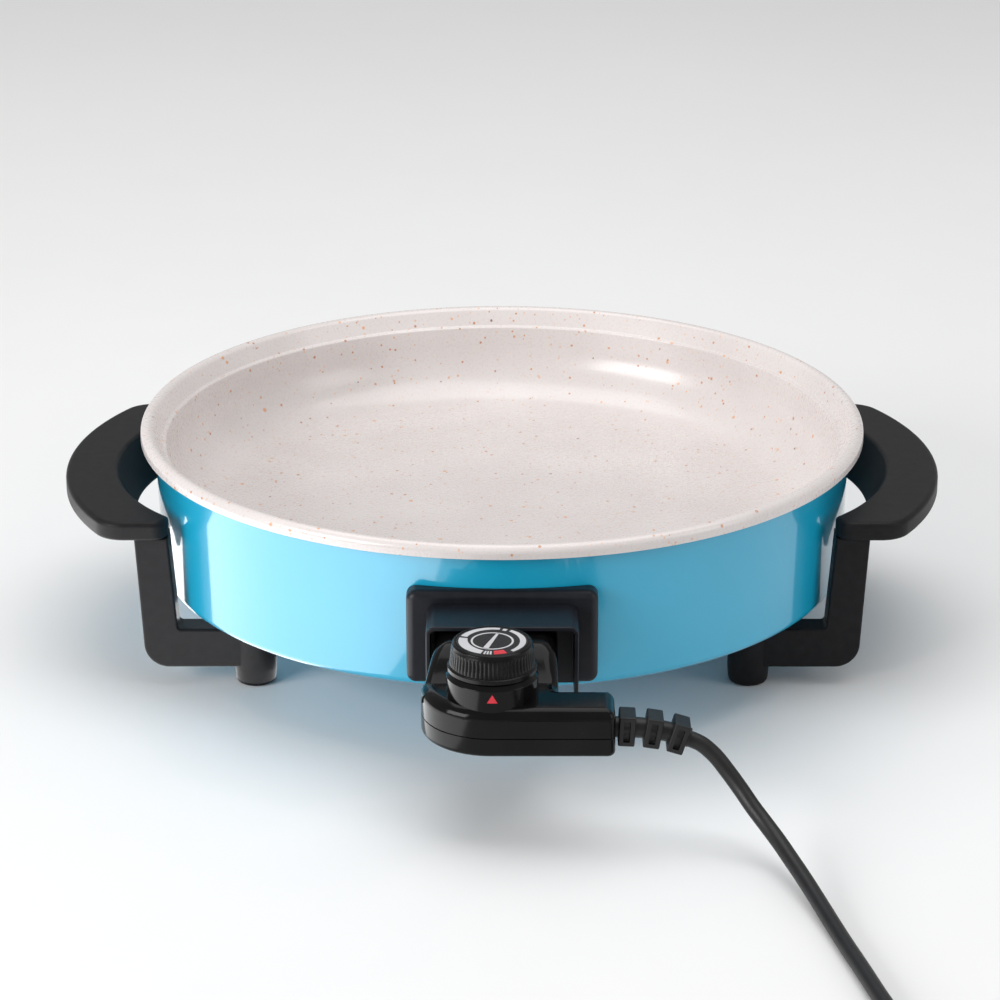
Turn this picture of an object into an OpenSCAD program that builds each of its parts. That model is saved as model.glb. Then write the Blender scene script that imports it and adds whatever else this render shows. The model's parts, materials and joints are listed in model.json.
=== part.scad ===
// Round electric griddle pan: a ceramic lined pan in a painted outer shell, on
// four legs under two side handles, with a plug-in thermostat controller, its
// dial knob, and a mains lead wound up in front of it.
// Frame: +Z up, the origin on the table under the centre of the pan, front = -Y.

/* [Pan] */
// Outer radius of the rolled rim
rim_r = 180; // [179:1:181]
// Height of the rim above the table
rim_h = 111; // [110:1:113]
// Height of the cooking floor above the table
floor_h = 65; // [64:1:66]
// Radius of the bend between the cooking floor and the wall
bend_r = 27.5; // [24:0.5:28]
// Thickness of the ceramic coat
coat_t = 0.4; // [0.3:0.1:0.5]
// Thickness of the pan's aluminium
metal_t = 1.2; // [1:0.1:1.3]

/* [Outer shell] */
// Height of the underside of the outer shell
base_h = 36.5; // [36:0.5:38]
// Thickness of the shell's sheet steel
shell_t = 0.9; // [0.7:0.1:1]
// Radius of the bend round the bottom of the shell
shell_bend_r = 4; // [3:0.5:8]

/* [Handles and legs] */
// Reach of each handle from the centre of the pan
handle_reach = 218; // [217:0.5:222]
// Half the length of a handle along the side of the pan
handle_half = 87.5; // [86:0.5:88]
// Height of the top of the handles
handle_top = 86.6; // [85:0.1:88]
// Height of a handle's outer lip
handle_lip = 9.3; // [8:0.1:10]
// Sideways distance from the centre to the middle of a leg
leg_y = 76.3; // [75:0.1:77]
// Thickness of a leg
leg_t = 14.8; // [13:0.1:16]
// Radius of the round feet
foot_r = 10.15; // [9:0.05:11]
// Distance of the feet from the centre along X
foot_x = 120.5; // [116:0.5:121]

/* [Inlet shroud] */
// Half width of the shroud's bezel
bezel_half = 44; // [43:0.1:46]
// Lower edge of the bezel
bezel_low = 42.2; // [41:0.1:43]
// Upper edge of the bezel
bezel_top = 88; // [87:0.1:90]
// Half width of the hood, outside
hood_half = 34.5; // [34.2:0.1:36.5]
// Top of the hood, outside
hood_top = 81.8; // [81:0.1:83]
// How far the hood stands in front of the pan's centre
hood_front = 204; // [200:1:206]

/* [Controller] */
// Height of the underside of the controller
ctrl_low = 43.8; // [43:0.1:44.5]
// Height of the parting line between its two shells
ctrl_split = 52.8; // [51:0.1:53.5]
// Height of the top of the long body
ctrl_top = 66.2; // [65:0.1:67]
// Top of the neck that goes into the hood
neck_top = 78.3; // [77:0.1:78.6]
// Wall thickness of the controller's shells
ctrl_t = 2.2; // [1.8:0.1:2.4]
// How far the sensing probe reaches past the neck
probe_reach = 49; // [40:1:50]

/* [Knob] */
// Radius of the knob at its foot
knob_r = 19.9; // [18:0.1:20]
// Height of the knob
knob_h = 13; // [11:0.5:13]
// Number of ribs round the knob
knob_ribs = 60; // [36:4:72]

/* [Mains lead] */
// Diameter of the lead
cord_d = 7.4; // [7:0.1:7.4]

/* [Hidden] */
$fn = 96;
// How much wider the ball in an elbow of a rod is than the rod
elbow = 0.05;

// Pan profile
wall_r = rim_r - 12.5;
ledge_h = rim_h - 9;
ledge_w = 1.8;
roll_r = 3.6;
roll_x = rim_r - roll_r;
roll_z = rim_h - roll_r;
lip_h = rim_h - 6.2;
pan_t = coat_t + metal_t;
pan_under = floor_h - pan_t;

// Outer shell profile
shell_top_r = rim_r - 7;
shell_low_r = rim_r - 8.8;
shell_top_h = rim_h - 7.6;
shell_floor = base_h + shell_t;
touch_r = shell_top_r + 0.1;

// Handles: two circles give the outline, seen from above
handle_out_r = 155;
handle_in_r = 110;
handle_corner_r = 16;
handle_in_x = handle_reach - 26 - handle_in_r;
handle_out_x = handle_reach - handle_out_r;
handle_under = handle_top - handle_lip;
arm_end = 164;
arm_end_r = 8;
skirt_low = handle_top - 23.5;
skirt_lean = 9;
grip_half = 64;

reflector_z = 46;
reflector_t = 0.8;

// Screws
screw_r = 2;
thread_r = screw_r - 0.2;
head_r = 3;
head_h = 1.4;
arm_screw_z = handle_under + 4.6;
arm_screw_tip = 176;
shroud_screw_x = 40;
shroud_screw_z = 66;

// Inlet
bezel_face = 177;
bezel_corner = 5;
hood_t = 1.8;
hood_back = 175.5;
inlet_x = -2.4;
pin_gap = 14;
pin_r = 2.4;
pin_tip = 197;
element_r = 3.5;
element_ring_r = 100;
element_z = pan_under - element_r - 0.1;
pin_z = element_z;
probe_r = 3.2;
probe_z = pan_under - 5;
sleeve_r = 5;
sleeve_back = 126;
window_half = 24;
window_low = 46;
window_top = 72;
plate_y = -162;
plate_t = 1.6;
plate_half = 21;
earth_z = 47.5;
earth_t = 0.8;

// Controller outline, seen from above
neck_front = -181;
neck_left = -30.8;
neck_right = 25;
body_left = -36.2;
body_right = 49.6;
body_front = -261;
body_back = -236;
corner_r = 32;
end_r = 3;
shoulder_r = 8;
neck_break = -214;
neck_foot = -232;
knob_x = -4.4;
knob_y = -239;
platform_r = 20.4;
platform_top = 76.8;
knob_low = platform_top + 0.5;
shaft_r = 3;
shaft_gap = 0.06;
probe_tip = neck_front + probe_reach;

// Mains lead: hand-chosen route points, then a coil, then a tail to the plug
cord_r = cord_d / 2;
cord_y = -248;
relief_start = [body_right, cord_y, 53];
relief_droop = 9;
relief_l = 32.8;
ROUTE = [[82, -248, 47.5], [88, -249, 45], [94, -251, 40.2], [99.5, -254, 34],
    [105, -258.5, 27.6], [110, -264.5, 22], [115.5, -272, 17], [120.5, -281, 13.2],
    [125, -292, 10.2], [129.5, -305, 7.8], [134, -320, 5.6], [138.5, -338, 4.2],
    [143, -358, 3.7], [148, -380, 3.7], [153, -403, 3.7], [159, -428, 3.7],
    [165, -454, 3.7], [171, -479, 3.7]];
coil_x = 128;
coil_y = -490;
coil_r = 41;
TAIL = [[128, -534.7, 11.1], [114, -535, 11.6], [100, -535, 13.4], [86, -535, 16],
    [74, -535, 18], [62, -535, 19], [50, -535, 19]];
plug_x = 52;
plug_y = -535;
plug_z = 19;
plug_r = 19;
plug_face = plug_x - 48;
plug_pin_r = 2.4;
plug_pin_l = 19;
plug_pin_gap = 9.5;
plug_shank_r = 2;
plug_shank_l = 8;
earth_slot_y = 17.2;

// Points along an arc, with angles in degrees
function arc(cx, cy, r, a0, a1, n = 8) =
    [for (i = [0:n]) let (a = a0 + (a1 - a0) * i / n) [cx + r * cos(a), cy + r * sin(a)]];
function backwards(p) = [for (i = [len(p) - 1:-1:0]) p[i]];

// The cooking surface from the centre of the floor to the edge of the lip, moved
// outwards by t. Above the lid ledge it leans out to meet the rolled rim.
ledge_x = wall_r + ledge_w;
lean = atan2(roll_z - ledge_h, roll_x - ledge_x)
    + asin(roll_r / norm([roll_z - ledge_h, roll_x - ledge_x]));
function bowl_line(t) = concat(
    [[0, floor_h - t]],
    arc(wall_r - bend_r, floor_h + bend_r, bend_r + t, -90, 0, 12),
    [[wall_r + t, ledge_h - t], [ledge_x + t * tan(lean / 2), ledge_h - t]],
    arc(roll_x, roll_z, roll_r - t, lean + 90, 0, 10),
    [[rim_r - t, lip_h]]);

// A layer of the bowl between two depths under the cooking surface
module bowl_layer(t0, t1) {
    rotate_extrude() polygon(concat(bowl_line(t0), backwards(bowl_line(t1))));
}

// A cylinder along Y, from y0 to y1
module y_cylinder(r, x, z, y0, y1) {
    translate([x, max(y0, y1), z]) rotate([90, 0, 0]) cylinder(r = r, h = abs(y1 - y0));
}

// A cylinder along X, from x0 to x1
module x_cylinder(r, y, z, x0, x1) {
    translate([min(x0, x1), y, z]) rotate([0, 90, 0]) cylinder(r = r, h = abs(x1 - x0));
}

module box(low, high) {
    translate(low) cube(high - low);
}

// Repeats its children at the four legs, as mirror images of the front left one
module at_legs() {
    for (sx = [0, 1], sy = [0, 1]) mirror([sx, 0, 0]) mirror([0, sy, 0]) children();
}

module ceramic_lining() {
    color("linen") bowl_layer(0, coat_t);
}

module cooking_pan() {
    color("silver") bowl_layer(coat_t, pan_t);
}

module shell_wall() {
    c = shell_low_r - shell_bend_r;
    rotate_extrude() polygon(concat(
        [[0, base_h]], arc(c, base_h + shell_bend_r, shell_bend_r, -90, 0),
        [[shell_top_r, shell_top_h], [shell_top_r - shell_t, shell_top_h]],
        arc(c, base_h + shell_bend_r, shell_bend_r - shell_t, 0, -90),
        [[0, shell_floor]]));
}

// The shell's inner radius at a height above its bottom bend
function shell_in_r(z) = shell_low_r - shell_t + (shell_top_r - shell_low_r)
    * (z - base_h - shell_bend_r) / (shell_top_h - base_h - shell_bend_r);

// Where a screw's head meets the inside of the shell, when it is off the axis by side
function head_seat(side, z) =
    sqrt(pow(shell_in_r(z - head_r), 2) - pow(side + head_r, 2)) - 0.05;

module outer_shell() {
    vent_r = 3;
    vent_ring_r = 60;
    vents = 12;
    hole_r = thread_r + 0.5;
    color("deepskyblue") difference() {
        shell_wall();
        box([inlet_x - window_half, -rim_r, window_low], [inlet_x + window_half, -150, window_top]);
        for (i = [0:vents - 1]) rotate(i * 360 / vents) translate([vent_ring_r, 0, base_h - 1])
            cylinder(r = vent_r, h = 4);
        translate([0, 0, base_h - 1]) cylinder(r = screw_r + 0.6, h = 4);
        for (s = [-1, 1]) y_cylinder(hole_r, s * shroud_screw_x, shroud_screw_z, -175, -150);
        at_legs() translate([-foot_x, -leg_y, base_h - 1]) cylinder(r = hole_r, h = 4);
    }
}

// A shallow dish under the element that throws its heat back up to the pan
module heat_reflector() {
    z = reflector_z;
    t = reflector_t;
    color("lightgray") rotate_extrude() polygon([[6, z], [112, z], [124, z + 4.5],
        [124, z + 4.5 + t], [112, z + t], [6, z + t]]);
}

// The sheathed element: an open ring and two cold ends out to the inlet
module heating_element() {
    a = asin(pin_gap / element_ring_r);
    color("dimgray") translate([inlet_x, 0, element_z]) {
        rotate(-90 + a) rotate_extrude(angle = 360 - 2 * a)
            translate([element_ring_r, 0]) circle(r = element_r, $fn = 32);
        for (s = [-1, 1]) {
            y0 = -element_ring_r * cos(a);
            translate([s * pin_gap, y0, 0]) sphere(r = element_r + elbow, $fn = 32);
            y_cylinder(element_r, s * pin_gap, 0, y0, -148);
        }
    }
}

// Saddles that press the element against the pan, each on a stud with its nut
module element_clamps() {
    stud_r = 2;
    z_nut = element_z - element_r - 4.2;
    low = element_z - element_r;
    color("gainsboro") translate([inlet_x, 0, 0]) for (a = [90, 210, 330]) rotate(a) {
        box([element_ring_r - 16, -6, low - 1.2], [element_ring_r + 5, 6, low]);
        translate([element_ring_r - 11, 0, z_nut]) cylinder(r = stud_r, h = pan_under - z_nut);
        translate([element_ring_r - 11, 0, z_nut]) cylinder(r = 4, h = 3, $fn = 6);
    }
}

module terminal_insulators() {
    color("white") for (s = [-1, 1]) difference() {
        y_cylinder(4.6, inlet_x + s * pin_gap, pin_z, plate_y + plate_t, -150);
        y_cylinder(pin_r, inlet_x + s * pin_gap, pin_z, plate_y, -149);
    }
}

module terminal_pins() {
    color("silver") for (s = [-1, 1]) {
        x = inlet_x + s * pin_gap;
        y_cylinder(pin_r, x, pin_z, -pin_tip + pin_r, -148);
        translate([x, -pin_tip + pin_r, pin_z]) sphere(r = pin_r);
    }
}

// The steel plate behind the shell's window that carries pins, sleeve and earth
module terminal_plate() {
    left = inlet_x - plate_half;
    right = inlet_x + plate_half;
    color("lightsteelblue") difference() {
        union() {
            box([left, plate_y, shell_floor], [right, plate_y + plate_t, pan_under - 0.2]);
            box([left, plate_y, shell_floor], [right, -150, shell_floor + plate_t]);
        }
        for (s = [-1, 1])
            y_cylinder(pin_r + 0.6, inlet_x + s * pin_gap, pin_z, plate_y - 3, plate_y + 4);
        y_cylinder(sleeve_r, inlet_x, probe_z, plate_y - 3, plate_y + 4);
    }
}

// The closed tube under the pan that the sensing probe slides into
module probe_sleeve() {
    color("silver") difference() {
        y_cylinder(sleeve_r, inlet_x, probe_z, plate_y - 3, -sleeve_back);
        y_cylinder(sleeve_r - 1, inlet_x, probe_z, plate_y - 4, -sleeve_back - 2);
    }
}

module earth_blade() {
    color("gold") box([inlet_x - 3, -188, earth_z], [inlet_x + 3, plate_y, earth_z + earth_t]);
}

// The stud, washer and nut that hold the shell up against the pan
module shell_bolt() {
    color("gainsboro") {
        translate([0, 0, base_h - 6]) cylinder(r = screw_r, h = pan_under - base_h + 6);
        translate([0, 0, base_h - 1.2]) cylinder(r = 7, h = 1.2);
        translate([0, 0, shell_floor]) cylinder(r = 8, h = reflector_z - shell_floor);
        translate([0, 0, reflector_z + reflector_t]) cylinder(r = 8, h = 1.2);
        translate([0, 0, base_h - 4.4]) cylinder(r = 4, h = 3.2, $fn = 6);
    }
}

// A box with round corners seen from the front, from y0 to y1
module rounded_front(half, low, top, r, y0, y1) {
    translate([0, y1, 0]) rotate([90, 0, 0]) linear_extrude(y1 - y0) polygon(concat(
        arc(half - r, low + r, r, -90, 0), arc(half - r, top - r, r, 0, 90),
        arc(r - half, top - r, r, 90, 180), arc(r - half, low + r, r, 180, 270)));
}

module inlet_shroud() {
    inner = hood_half - hood_t;
    color("#222226") difference() {
        union() {
            rounded_front(bezel_half, bezel_low, bezel_top, bezel_corner, -bezel_face, -150);
            intersection() {
                rounded_front(hood_half, bezel_low - 10, hood_top, 4, -hood_front, -150);
                box([-50, -hood_front, bezel_low], [50, -150, hood_top + 1]);
            }
        }
        rounded_front(inner, bezel_low - 20, hood_top - hood_t, 2.4, -hood_front - 1, -hood_back);
        box([inlet_x - window_half, -hood_back - 1, window_low], [inlet_x + window_half, -149, window_top]);
        cylinder(r = touch_r, h = 120);
        for (s = [-1, 1]) y_cylinder(thread_r, s * shroud_screw_x, shroud_screw_z, -174, -160);
    }
}

module shroud_screws() {
    seat = head_seat(shroud_screw_x, shroud_screw_z);
    color("silver") for (s = [-1, 1]) {
        y_cylinder(thread_r, s * shroud_screw_x, shroud_screw_z, -173.5, 0.5 - seat);
        y_cylinder(head_r, s * shroud_screw_x, shroud_screw_z, -seat, head_h - seat);
    }
}

// A handle's outline seen from above, drawn in by d, between heights z0 and z1
module handle_block(d, z0, z1) {
    rho = handle_corner_r;
    cy = handle_half - rho;
    reach = handle_out_r - rho;
    cx = sqrt(reach * reach - cy * cy);
    tangent_y = cy * handle_out_r / reach;
    end_x = arm_end + arm_end_r;
    end_y = handle_half - arm_end_r;
    h = z1 - z0;
    translate([0, 0, z0]) difference() {
        union() {
            intersection() {
                translate([-handle_out_x, 0, 0]) cylinder(r = handle_out_r - d, h = h, $fn = 180);
                box([-300, -tangent_y, 0], [-end_x, tangent_y, h]);
            }
            for (s = [-1, 1]) translate([-handle_out_x - cx, s * cy, 0]) cylinder(r = rho - d, h = h);
            box([-handle_out_x - cx, d - handle_half, 0], [-end_x, handle_half - d, h]);
            box([-end_x - 1, -end_y, 0], [-arm_end - d, end_y, h]);
            for (s = [-1, 1]) translate([-end_x, s * end_y, 0]) cylinder(r = arm_end_r - d, h = h);
        }
        translate([-handle_in_x, 0, -1]) cylinder(r = handle_in_r + d, h = h + 2, $fn = 180);
    }
}

// The skirt on the inner edge of a handle, which leans towards the pan
module handle_skirt() {
    t = 3;
    intersection() {
        translate([-handle_in_x, 0, 0]) rotate_extrude($fn = 180) polygon([
            [handle_in_r, handle_top], [handle_in_r + t, handle_top],
            [handle_in_r + t - skirt_lean, skirt_low], [handle_in_r - skirt_lean, skirt_low]]);
        box([-300, -grip_half, 0], [-150, grip_half, 200]);
    }
}

// The peg of a leg that fits into a handle, about y = 0, grown by d
module tenon(d) {
    half = 4.4 + d;
    box([-175 - d, -half, handle_under - 1], [-168 + d, half, handle_under + 6 + d]);
}

module handle() {
    plate = 3.2;
    rib = 3.4;
    color("#262628") difference() {
        union() {
            difference() {
                handle_block(0, handle_under, handle_top);
                intersection() {
                    handle_block(rib, handle_under - 1, handle_top - plate);
                    box([-300, -grip_half, 0], [-100, grip_half, 200]);
                }
            }
            difference() {
                handle_skirt();
                cylinder(r = touch_r, h = 200, $fn = 180);
            }
        }
        for (s = [-1, 1]) {
            translate([0, s * leg_y, 0]) tenon(0.2);
            x_cylinder(thread_r, s * leg_y, arm_screw_z, -arm_screw_tip, -160);
        }
    }
}

module handle_left() {
    handle();
}

module handle_right() {
    mirror([1, 0, 0]) handle();
}

// Screws along X, from the end of each arm into the peg of its leg
module handle_screws() {
    color("silver") at_legs() {
        x_cylinder(thread_r, -leg_y, arm_screw_z, -arm_screw_tip, 0.5 - arm_end);
        x_cylinder(head_r, -leg_y, arm_screw_z, -arm_end, head_h - arm_end);
    }
}

// The front left leg: an L with a round foot under the pan and a peg in the handle
module leg() {
    heel_r = 12;
    heel_x = -173.6;
    leg_low = 9.7;
    bar_top = 29.7;
    foot_edge = 2.5;
    top_x = -177.4;
    inner_x = [-161, -157.5];
    color("#2a2a2e") difference() {
        union() {
            translate([0, -leg_y + leg_t / 2, 0]) rotate([90, 0, 0]) linear_extrude(leg_t)
                polygon(concat([[-foot_x, leg_low]],
                    backwards(arc(heel_x + heel_r, leg_low + heel_r, heel_r, 180, 270, 10)),
                    [[top_x, handle_under], [inner_x[0], handle_under], [inner_x[1], bar_top],
                        [-foot_x, bar_top]]));
            translate([0, -leg_y, 0]) tenon(0);
            translate([-foot_x, -leg_y, 0]) rotate_extrude($fn = 64) polygon(concat([[0, 0]],
                arc(foot_r - foot_edge, foot_edge, foot_edge, -90, 0),
                [[foot_r, base_h], [0, base_h]]));
        }
        x_cylinder(thread_r, -leg_y, arm_screw_z, -arm_screw_tip, -160);
        translate([-foot_x, -leg_y, 20]) cylinder(r = thread_r, h = 40);
    }
}

module leg_front_left() {
    leg();
}

module leg_front_right() {
    mirror([1, 0, 0]) leg();
}

module leg_rear_left() {
    mirror([0, 1, 0]) leg();
}

module leg_rear_right() {
    mirror([1, 0, 0]) mirror([0, 1, 0]) leg();
}

module foot_screws() {
    color("silver") at_legs() translate([-foot_x, -leg_y, 0]) {
        translate([0, 0, base_h - 15]) cylinder(r = thread_r, h = 15 + shell_t);
        translate([0, 0, shell_floor]) cylinder(r = head_r, h = head_h);
    }
}

// The controller's outline seen from above, drawn in by d, up to y = front
function ctrl_outline(d, front) = concat(
    [[neck_left + d, front], [neck_left + d, -206]],
    arc(body_left + corner_r, body_front + corner_r, corner_r - d, 180, 270, 12),
    arc(body_right - end_r, body_front + end_r, end_r - d, -90, 0, 6),
    arc(body_right - end_r, body_back - end_r, end_r - d, 0, 90, 6),
    [[neck_right - d, body_back - d], [neck_right - d, front]]);

module ctrl_slab(d, z0, z1, front = neck_front) {
    translate([0, 0, z0]) linear_extrude(z1 - z0) polygon(ctrl_outline(d, front));
}

// The upper half of the controller, drawn in by d: a low body and a raised neck
module ctrl_upper(d, z0, front = neck_front) {
    low = ctrl_top - d;
    high = neck_top - d;
    r = shoulder_r - d;
    intersection() {
        ctrl_slab(d, z0, high, front);
        union() {
            box([-100, -300, z0 - 1], [100, front, low]);
            intersection() {
                translate([-100, 0, 0]) rotate([90, 0, 90]) linear_extrude(200) polygon([
                    [front + 1, z0 - 1], [front + 1, high], [neck_break - d, high],
                    [neck_foot - d, low], [neck_foot - d, z0 - 1]]);
                translate([0, front + 1, 0]) rotate([90, 0, 0]) linear_extrude(100) polygon(concat(
                    [[body_left - 1, z0 - 1], [neck_right - d, z0 - 1]],
                    arc(neck_right - d - r, high - r, r, 0, 90),
                    arc(neck_left + d + r, high - r, r, 90, 180),
                    [[neck_left + d - 4 + d, low + 1], [body_left - 1, low + 1]]));
            }
        }
    }
}

// Where the lower and upper shells are screwed together
BOSSES = [[-26, -245], [24, -255], [-27, -212]];
module bosses(r, z0, z1) {
    for (p = BOSSES) translate([p[0], p[1], z0]) cylinder(r = r, h = z1 - z0);
}

module controller_base() {
    floor_z = ctrl_low + ctrl_t;
    color("#1b1b1d") difference() {
        union() {
            difference() {
                ctrl_slab(0, ctrl_low, ctrl_split);
                ctrl_slab(ctrl_t, floor_z, ctrl_split + 1, neck_front + 1);
            }
            bosses(3, floor_z - 0.1, ctrl_split);
        }
        bosses(1.7, ctrl_low - 1, ctrl_split + 1);
        bosses(2.8, ctrl_low - 1, ctrl_low + 1.6);
        x_cylinder(5, cord_y, relief_start[2], body_right - 5, body_right + 1);
    }
}

module controller_cover() {
    color("#1b1b1d") difference() {
        union() {
            difference() {
                ctrl_upper(0, ctrl_split);
                ctrl_upper(ctrl_t, ctrl_split - 1, neck_front + 1);
            }
            bosses(3, ctrl_split, ctrl_top - ctrl_t + 0.1);
            translate([knob_x, knob_y, ctrl_top - ctrl_t])
                cylinder(r = platform_r, h = platform_top - ctrl_top + ctrl_t);
        }
        translate([knob_x, knob_y, ctrl_top - ctrl_t - 1])
            cylinder(r = platform_r - ctrl_t, h = platform_top - ctrl_top + 1);
        translate([knob_x, knob_y, 60]) cylinder(r = shaft_r + shaft_gap, h = 30);
        bosses(1.2, ctrl_split - 1, ctrl_top - ctrl_t - 2);
        x_cylinder(5, cord_y, relief_start[2], body_right - 5, body_right + 1);
        arrowhead();
    }
}

module controller_screws() {
    color("silver") {
        bosses(1.2, ctrl_low + 1.4, ctrl_top - ctrl_t - 3);
        bosses(2.6, ctrl_low + 0.2, ctrl_low + 1.4);
    }
}

// The moulded block that closes the neck and holds the two sockets
module socket_block() {
    back = neck_front - 22;
    d = ctrl_t;
    color("#3a3a3c") difference() {
        union() {
            box([neck_left + d, back, ctrl_low + d], [neck_right - d, neck_front, neck_top - d - 8]);
            box([neck_left + d + 8, back, neck_top - d - 8],
                [neck_right - d - 8, neck_front, neck_top - d]);
        }
        for (s = [-1, 1]) y_cylinder(3, inlet_x + s * pin_gap, pin_z, back + 1, neck_front + 1);
        y_cylinder(probe_r, inlet_x, probe_z, back - 1, neck_front + 1);
        box([inlet_x - 4, neck_front - 12, 46.6], [inlet_x + 4, neck_front + 1, 50.4]);
    }
}

// Sprung brass tubes that grip the pins, with tails for the wires
module socket_clips() {
    color("gold") for (s = [-1, 1]) translate([inlet_x + s * pin_gap, 0, pin_z]) {
        difference() {
            y_cylinder(3, 0, 0, neck_front - 21, neck_front - 6);
            y_cylinder(pin_r + 0.06, 0, 0, neck_front - 19, neck_front - 5);
        }
    }
}

module earth_clip() {
    color("gold") for (z = [46.7, 48.5])
        box([inlet_x - 3.4, neck_front - 11.8, z], [inlet_x + 3.4, neck_front - 1, z + 0.6]);
}

module sensor_probe() {
    color("silver") {
        y_cylinder(probe_r, inlet_x, probe_z, neck_front - 25, probe_tip - probe_r);
        translate([inlet_x, probe_tip - probe_r, probe_z]) sphere(r = probe_r);
        y_cylinder(5, inlet_x, probe_z, neck_front - 23.5, neck_front - 22);
    }
}

// The steel frame that carries the probe, the strip and the dial spindle
module thermostat_frame() {
    color("lightsteelblue") difference() {
        union() {
            box([-15, -232, 50], [9, -207.8, 51.2]);
            box([-15, -209, 50], [9, -207.8, 61.8]);
            box([-15, -248, 60.6], [9, -207.8, 61.8]);
        }
        translate([knob_x, knob_y, 55]) cylinder(r = shaft_r + shaft_gap, h = 10);
    }
}

module bimetal_strip() {
    color("peru") box([inlet_x - 3, -238, 56.6], [inlet_x + 3, -209, 57.2]);
}

module contact_blades() {
    color("gold") for (z = [52.4, 54.6]) box([inlet_x - 2.5, -240, z], [inlet_x + 2.5, -209, z + 0.4]);
    color("silver") translate([inlet_x, -232, 52.8]) cylinder(r = 1.6, h = 1.8);
}

// The bar that holds the lead down inside the controller
module cord_clamp() {
    color("#3a3a3c") difference() {
        box([31, -257.5, 50.5], [37, -239.5, 60]);
        x_cylinder(cord_r, cord_y, relief_start[2], 30, 38);
        for (y = [-254.5, -241.9]) translate([34, y, 50]) cylinder(r = 1.3, h = 12);
    }
}

module clamp_screws() {
    color("silver") for (y = [-254.5, -241.9]) translate([34, y, 0]) {
        translate([0, 0, 51]) cylinder(r = 1.3, h = 9);
        translate([0, 0, 60]) cylinder(r = 2.4, h = 1.4);
    }
}

// The end of the lead inside the controller: its sheath and three wires
module lead_wires() {
    z = relief_start[2];
    wire_r = 1.2;
    color("dimgray") x_cylinder(cord_r, cord_y, z, 28, 44);
    for (w = [["peru", 12.5, -245.8], ["steelblue", -19.5, -250.4], ["yellowgreen", 16.5, cord_y]])
        color(w[0]) tube(smooth([[27.98, w[2], z], [w[1] + 5, w[2], z], [w[1] + 1.2, w[2] + 1.2, z],
            [w[1], w[2] + 5, z], [w[1], -206, z]], 2), wire_r, 8);
}

// A red arrowhead let into the front of the platform, under the dial
module arrowhead() {
    half = 2.2;
    low = 68.6;
    high = 73.6;
    depth = 0.4;
    proud = 0.1;
    translate([knob_x, knob_y - platform_r + depth, 0]) rotate([90, 0, 0])
        linear_extrude(depth + proud) polygon([[-half, low], [half, low], [0, high]]);
}

module pointer_mark() {
    color("crimson") arrowhead();
}

// The bend relief: a soft core with three square blocks, drooping a little
module strain_relief() {
    block = [7.4, 13, 14];
    first = 2;
    pitch = 11.6;
    core_r = 4.6;
    color("#1b1b1d") difference() {
        union() {
            x_cylinder(7, cord_y, relief_start[2], 44.6, body_right - ctrl_t);
            x_cylinder(core_r, cord_y, relief_start[2], body_right - ctrl_t - 1, body_right + 1);
            translate(relief_start) rotate([0, relief_droop, 0]) {
                rotate([0, 90, 0]) cylinder(r = core_r, h = relief_l);
                for (i = [0:2])
                    translate([first + i * pitch, -block[1] / 2, -block[2] / 2]) cube(block);
            }
        }
        x_cylinder(cord_r - 1, cord_y, relief_start[2], 44, 46);
    }
}

// A round tube swept along a route, as one closed polyhedron of rings
function unit(v) = v / norm(v);
function tangent(p, i) = unit(p[min(i + 1, len(p) - 1)] - p[max(i - 1, 0)]);
function spline(p, i, u) = let (
    a = p[max(i - 1, 0)], b = p[i], c = p[i + 1], d = p[min(i + 2, len(p) - 1)])
    0.5 * (2 * b + (c - a) * u + (2 * a - 5 * b + 4 * c - d) * u * u
        + (3 * b - a - 3 * c + d) * u * u * u);
function smooth(p, n) = concat(
    [for (i = [0:len(p) - 2], k = [0:n - 1]) spline(p, i, k / n)], [p[len(p) - 1]]);
module tube(route, r, sides = 10) {
    n = len(route);
    rings = [for (i = [0:n - 1]) let (t = tangent(route, i), a = unit(cross([0, 0, 1], t)),
        b = cross(t, a)) for (k = [0:sides - 1])
        route[i] + r * cos(360 * k / sides) * a + r * sin(360 * k / sides) * b];
    walls = [for (i = [0:n - 2], k = [0:sides - 1]) let (j = (k + 1) % sides)
        [i * sides + k, (i + 1) * sides + k, (i + 1) * sides + j, i * sides + j]];
    ends = [[for (k = [0:sides - 1]) k], [for (k = [sides - 1:-1:0]) (n - 1) * sides + k]];
    polyhedron(points = rings, faces = concat(walls, ends));
}

module power_cord() {
    color("#232325") tube(smooth(ROUTE, 2), cord_r);
}

// The outer shape of the wound-up part of the lead
module cord_coil() {
    color("#232325") translate([coil_x, coil_y, 0]) rotate_extrude() polygon([
        [coil_r - cord_d, 0], [coil_r + cord_d, 0], [coil_r + cord_d, 2 * cord_d],
        [coil_r - cord_d, 2 * cord_d]]);
}

module cord_tail() {
    color("#232325") tube(smooth(TAIL, 2), cord_r);
}

// The moulded plug lies on its side, with its pins along -X
module plug_body() {
    slot = [2, 3.5, 11];
    color("#1b1b1d") difference() {
        translate([plug_x, plug_y, plug_z]) rotate([0, -90, 0]) rotate_extrude() polygon([
            [0, 0], [5, 0], [6.5, 16], [12, 20], [14, 28], [plug_r, 33], [plug_r, 48], [0, 48]]);
        for (s = [-1, 1]) {
            x_cylinder(plug_shank_r, plug_y, plug_z + s * plug_pin_gap, plug_face - 1,
                plug_face + plug_shank_l);
            box([plug_face - 1, plug_y + s * earth_slot_y - slot[0], plug_z - slot[1]],
                [plug_face + slot[2], plug_y + s * earth_slot_y + slot[0], plug_z + slot[1]]);
        }
    }
}

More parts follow.
